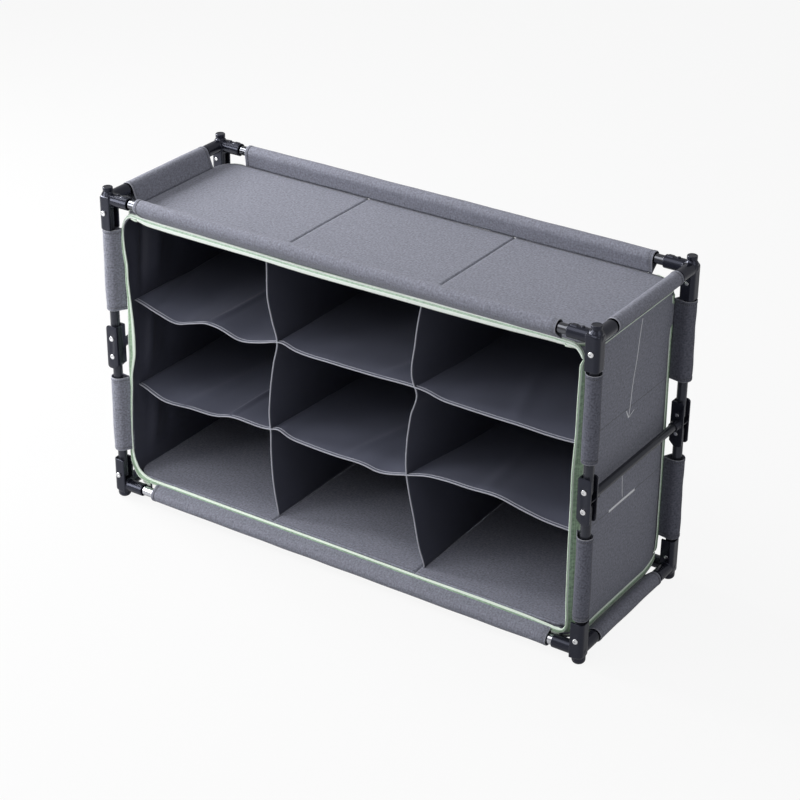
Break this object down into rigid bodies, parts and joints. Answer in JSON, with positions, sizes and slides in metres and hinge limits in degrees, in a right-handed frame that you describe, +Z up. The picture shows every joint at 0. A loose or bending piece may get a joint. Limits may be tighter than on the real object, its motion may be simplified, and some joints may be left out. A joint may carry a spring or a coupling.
{
  "type": "fabric camp kitchen cupboard",
  "caption": "Free-standing folding camp cupboard: tube frame with moulded corners, side posts that fold inward at the middle, and an open-fronted fabric box divided into bays.",
  "frame": {"origin": "on the ground under the middle of the frame", "axes": "+X to the right seen from the open front, +Y to the back, +Z up"},
  "size_m": [0.913, 0.3228, 0.566],
  "materials": {
    "black_plastic": "moulded, fine satin grain",
    "bright_tube": "polished tube",
    "dark_tube": "satin dark grey coat",
    "screw_steel": "bright zinc",
    "grey_cloth": "plain woven polyester, matt",
    "dark_cloth": "smooth coated polyester with a faint sheen",
    "mint_tape": "woven binding tape"
  },
  "bodies": {
    "bottom_frame": {"corner_bottom_front_left": "black_plastic", "pivot_screw_bottom_front_left": "screw_steel", "corner_bottom_back_left": "black_plastic", "pivot_screw_bottom_back_left": "screw_steel", "corner_bottom_front_right": "black_plastic", "pivot_screw_bottom_front_right": "screw_steel", "corner_bottom_back_right": "black_plastic", "pivot_screw_bottom_back_right": "screw_steel", "rail_bottom_front": "bright_tube", "rail_bottom_back": "bright_tube", "rail_bottom_left": "bright_tube", "rail_bottom_right": "bright_tube", "floor_cover": "grey_cloth", "back_panel": "dark_cloth", "divider_left": "dark_cloth", "divider_right": "dark_cloth", "shelf_lower": "dark_cloth", "shelf_upper": "dark_cloth", "side_wall_left": "grey_cloth", "side_wall_right": "grey_cloth", "tape_bottom_front": "mint_tape", "tape_bottom_back": "mint_tape"},
    "left_lower_posts": {"post_lower_front_left": "dark_tube", "post_lower_back_left": "dark_tube"},
    "left_bar": {"bracket_front_left": "black_plastic", "bracket_screw_lower_front_left": "black_plastic", "bracket_screw_upper_front_left": "black_plastic", "bracket_back_left": "black_plastic", "bracket_screw_lower_back_left": "black_plastic", "bracket_screw_upper_back_left": "black_plastic", "cross_bar_left": "dark_tube"},
    "left_upper_posts": {"post_upper_front_left": "dark_tube", "post_upper_back_left": "dark_tube"},
    "top_frame": {"corner_top_front_left": "black_plastic", "pivot_screw_top_front_left": "screw_steel", "corner_top_back_left": "black_plastic", "pivot_screw_top_back_left": "screw_steel", "corner_top_front_right": "black_plastic", "pivot_screw_top_front_right": "screw_steel", "corner_top_back_right": "black_plastic", "pivot_screw_top_back_right": "screw_steel", "rail_top_front": "bright_tube", "rail_top_back": "bright_tube", "rail_top_left": "bright_tube", "rail_top_right": "bright_tube", "top_cover": "grey_cloth", "tape_top_front": "mint_tape", "tape_top_back": "mint_tape"},
    "right_lower_posts": {"post_lower_front_right": "dark_tube", "post_lower_back_right": "dark_tube"},
    "right_bar": {"bracket_front_right": "black_plastic", "bracket_screw_lower_front_right": "black_plastic", "bracket_screw_upper_front_right": "black_plastic", "bracket_back_right": "black_plastic", "bracket_screw_lower_back_right": "black_plastic", "bracket_screw_upper_back_right": "black_plastic", "cross_bar_right": "dark_tube"},
    "right_upper_posts": {"post_upper_front_right": "dark_tube", "post_upper_back_right": "dark_tube"}
  },
  "joints": [
    {"name": "left_fold", "type": "hinge", "parent": "bottom_frame", "child": "left_lower_posts", "pos_m": [-0.445, 0, 0.0445], "axis": [0, 1, 0], "range_deg": [0, 83], "deforming": ["back_panel", "divider_left", "divider_right", "shelf_lower", "shelf_upper", "side_wall_left", "side_wall_right"]},
    {"name": "left_bracket_low", "type": "hinge", "parent": "left_lower_posts", "child": "left_bar", "pos_m": [-0.445, 0, 0.268], "axis": [0, 1, 0], "range_deg": [-83, 0]},
    {"name": "left_bracket_high", "type": "hinge", "parent": "left_bar", "child": "left_upper_posts", "pos_m": [-0.445, 0, 0.3005], "axis": [0, 1, 0], "range_deg": [-83, 0]},
    {"name": "left_top_pivot", "type": "hinge", "parent": "left_upper_posts", "child": "top_frame", "pos_m": [-0.445, 0, 0.524], "axis": [0, 1, 0], "range_deg": [0, 83]},
    {"name": "right_fold", "type": "hinge", "parent": "bottom_frame", "child": "right_lower_posts", "pos_m": [0.445, 0, 0.0445], "axis": [0, 1, 0], "range_deg": [-83, 0]},
    {"name": "right_bracket_low", "type": "hinge", "parent": "right_lower_posts", "child": "right_bar", "pos_m": [0.445, 0, 0.268], "axis": [0, 1, 0], "range_deg": [0, 83]},
    {"name": "right_bracket_high", "type": "hinge", "parent": "right_bar", "child": "right_upper_posts", "pos_m": [0.445, 0, 0.3005], "axis": [0, 1, 0], "range_deg": [0, 83]}
  ],
  "couplings": [
    {"joint": "left_bracket_low", "follows": "left_fold", "ratio": -1},
    {"joint": "left_bracket_high", "follows": "left_fold", "ratio": -1},
    {"joint": "left_top_pivot", "follows": "left_fold", "ratio": 1},
    {"joint": "right_fold", "follows": "left_fold", "ratio": -1},
    {"joint": "right_bracket_low", "follows": "left_fold", "ratio": 1},
    {"joint": "right_bracket_high", "follows": "left_fold", "ratio": 1}
  ]
}
